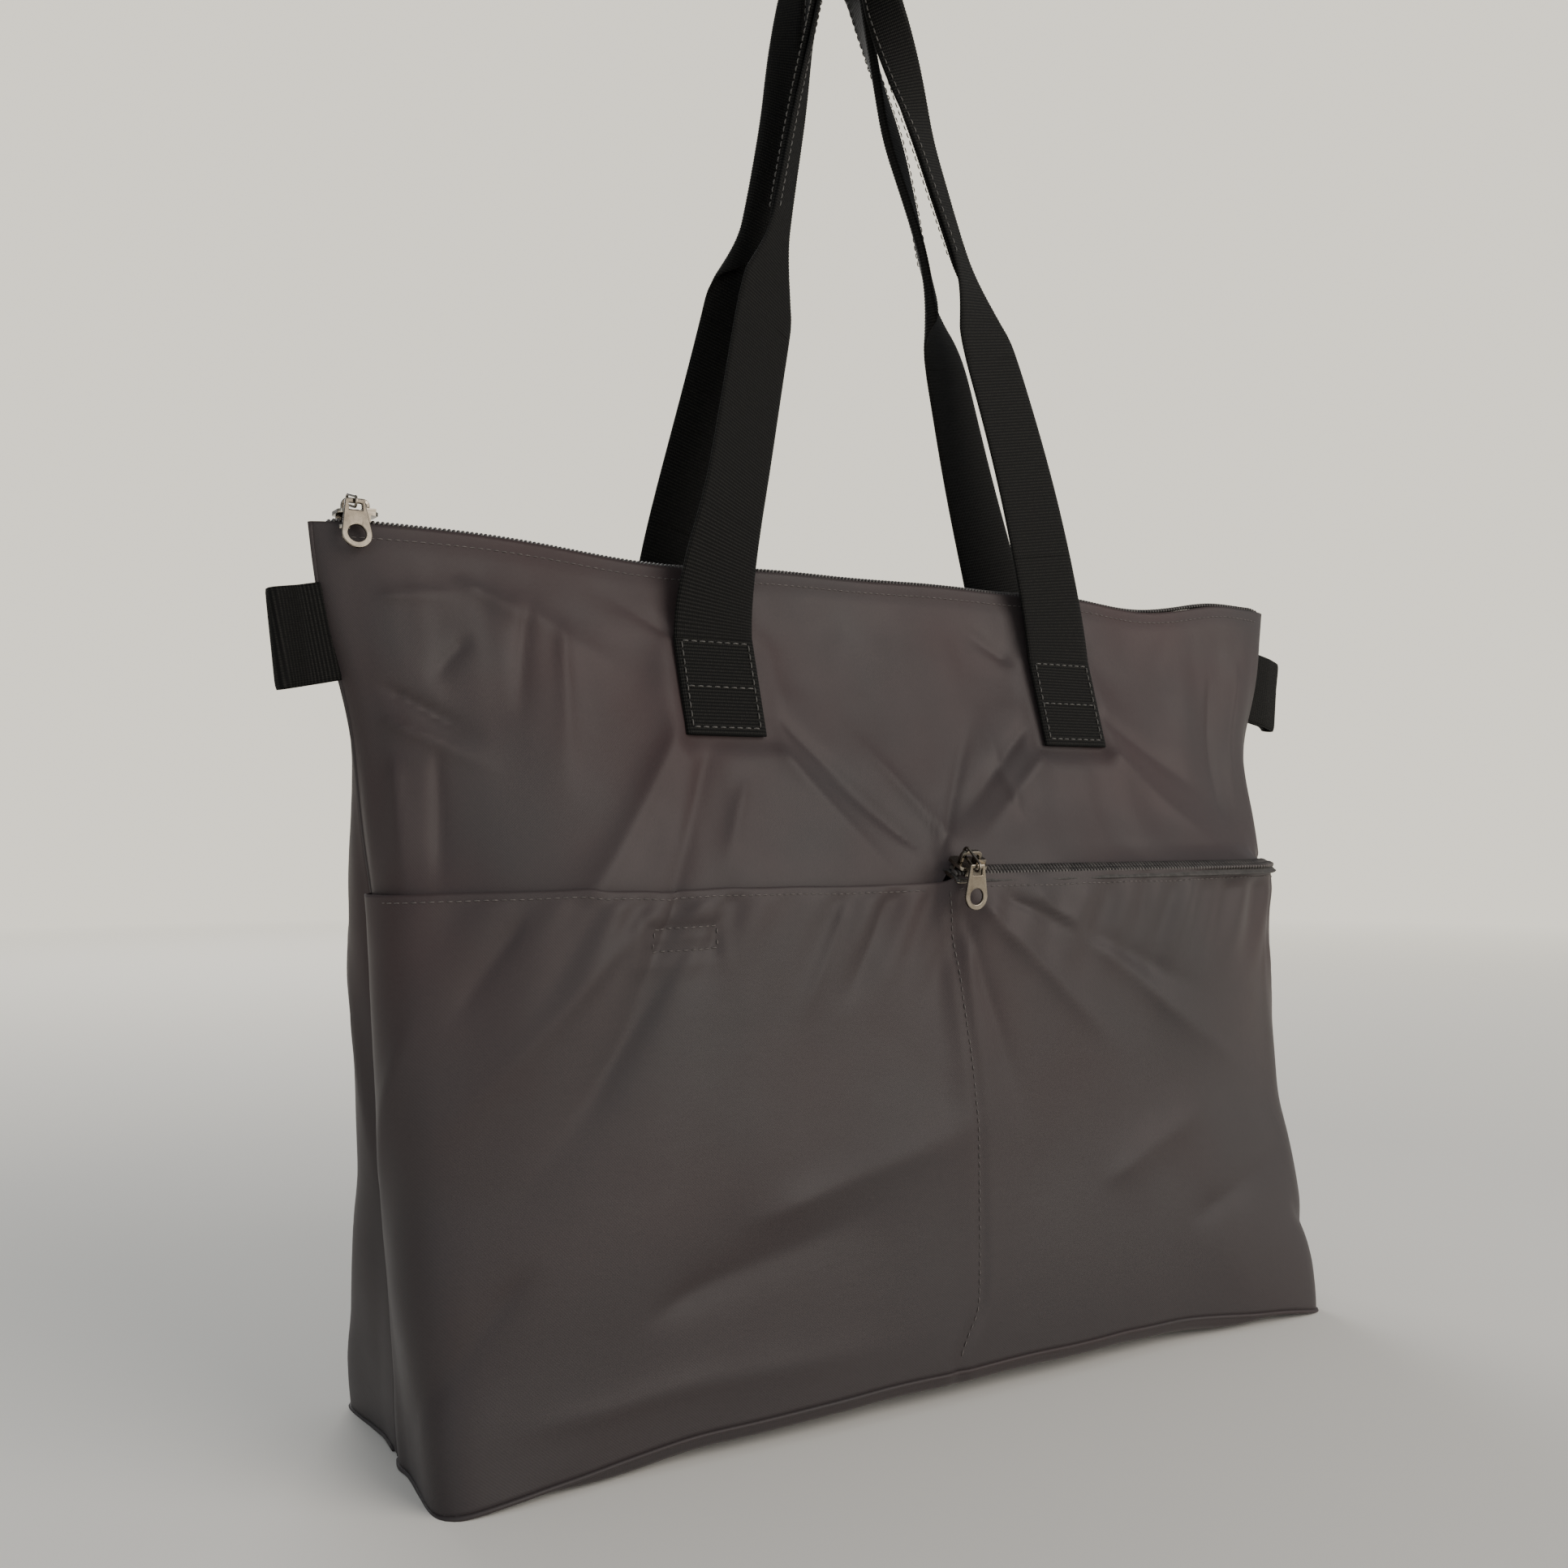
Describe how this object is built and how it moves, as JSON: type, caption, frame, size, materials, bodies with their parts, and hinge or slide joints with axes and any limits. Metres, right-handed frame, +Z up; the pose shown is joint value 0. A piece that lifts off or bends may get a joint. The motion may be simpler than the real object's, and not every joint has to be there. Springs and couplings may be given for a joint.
{
  "type": "knitting bag",
  "caption": "Soft boxed tote for knitting with a zipped top, a half-open and half-zipped front pocket, two webbing handles that swing and fold, and side loops.",
  "frame": {"origin": "middle of the flat base, on the face the bag stands on", "axes": "+Z up, +X to the right when facing the front pocket, +Y from the front to the back"},
  "size_m": [0.4444, 0.1118, 0.5286],
  "materials": {
    "body_fabric": "plain-woven coated nylon, dark warm grey, slight sheen",
    "seam_binding": "black woven binding tape",
    "hook_and_loop": "black hook and loop tape",
    "zip_tape": "dark grey woven zip tape",
    "zip_coil": "dark grey nylon coil",
    "zip_metal": "satin nickel plate",
    "webbing": "black cross-ribbed webbing"
  },
  "bodies": {
    "root": {"front_panel": "body_fabric", "back_panel": "body_fabric", "bottom_panel": "body_fabric", "front_pocket_panel": "body_fabric", "side_seam_tape_left": "seam_binding", "side_seam_tape_right": "seam_binding", "bottom_seam_tape": "seam_binding", "hook_patch": "hook_and_loop", "loop_patch": "hook_and_loop", "top_zip_tape_front": "zip_tape", "top_zip_tape_back": "zip_tape", "top_zip_coil_front": "zip_coil", "top_zip_coil_back": "zip_coil", "pocket_zip_tape_lower": "zip_tape", "pocket_zip_tape_upper": "zip_tape", "pocket_zip_coil_lower": "zip_coil", "pocket_zip_coil_upper": "zip_coil", "front_strap_end_left": "webbing", "front_strap_end_right": "webbing", "back_strap_end_left": "webbing", "back_strap_end_right": "webbing"},
    "top_slider": {"top_zip_slider": "zip_metal", "top_zip_crown": "zip_metal"},
    "top_link": {"top_zip_pull_link": "zip_metal"},
    "top_tab": {"top_zip_pull_tab": "zip_metal"},
    "pocket_slider": {"pocket_zip_slider": "zip_metal", "pocket_zip_crown": "zip_metal"},
    "pocket_link": {"pocket_zip_pull_link": "zip_metal"},
    "pocket_tab": {"pocket_zip_pull_tab": "zip_metal"},
    "front_handle": {"front_strap_legs": "webbing"},
    "front_grip": {"front_strap_grip": "webbing"},
    "back_handle": {"back_strap_legs": "webbing"},
    "back_grip": {"back_strap_grip": "webbing"},
    "left_loop": {"side_loop_left": "webbing"},
    "right_loop": {"side_loop_right": "webbing"}
  },
  "joints": [
    {"name": "top_zip_slide", "type": "slide", "parent": "root", "child": "top_slider", "axis": [1, 0, 0], "range_m": [0, 0.384]},
    {"name": "top_pull_flip", "type": "hinge", "parent": "top_slider", "child": "top_link", "pos_m": [-0.1942, 0, 0.2918], "axis": [-1, 0, 0], "range_deg": [0, 190]},
    {"name": "top_pull_swing", "type": "hinge", "parent": "top_link", "child": "top_tab", "pos_m": [-0.1942, -0.0072, 0.29], "axis": [0, -0.9744, 0.225], "range_deg": [-35, 35]},
    {"name": "pocket_zip_slide", "type": "slide", "parent": "root", "child": "pocket_slider", "axis": [1, 0, 0], "range_m": [0, 0.145]},
    {"name": "pocket_pull_flip", "type": "hinge", "parent": "pocket_slider", "child": "pocket_link", "pos_m": [0.0048, -0.04902, 0.18321], "axis": [-1, 0, 0], "range_deg": [0, 190]},
    {"name": "pocket_pull_swing", "type": "hinge", "parent": "pocket_link", "child": "pocket_tab", "pos_m": [0.0048, -0.0547, 0.17844], "axis": [0, -0.9976, -0.0698], "range_deg": [-35, 35]},
    {"name": "front_handle_swing", "type": "hinge", "parent": "root", "child": "front_handle", "pos_m": [0, -0.01686, 0.25426], "axis": [1, 0, 0], "range_deg": [0, 140]},
    {"name": "front_grip_fold", "type": "hinge", "parent": "front_handle", "child": "front_grip", "pos_m": [0, 0.00209, 0.40372], "axis": [1, 0, 0], "range_deg": [0, 50]},
    {"name": "back_handle_swing", "type": "hinge", "parent": "root", "child": "back_handle", "pos_m": [0, 0.01774, 0.25406], "axis": [1, 0, 0], "range_deg": [-140, 0]},
    {"name": "back_grip_fold", "type": "hinge", "parent": "back_handle", "child": "back_grip", "pos_m": [0, 0.024, 0.40458], "axis": [1, 0, 0], "range_deg": [-50, 0]},
    {"name": "left_loop_fold", "type": "hinge", "parent": "root", "child": "left_loop", "pos_m": [-0.20573, 0, 0.25], "axis": [-0.1016, 0, 0.9948], "range_deg": [-70, 70]},
    {"name": "right_loop_fold", "type": "hinge", "parent": "root", "child": "right_loop", "pos_m": [0.20573, 0, 0.25], "axis": [0.1016, 0, 0.9948], "range_deg": [-70, 70]}
  ]
}
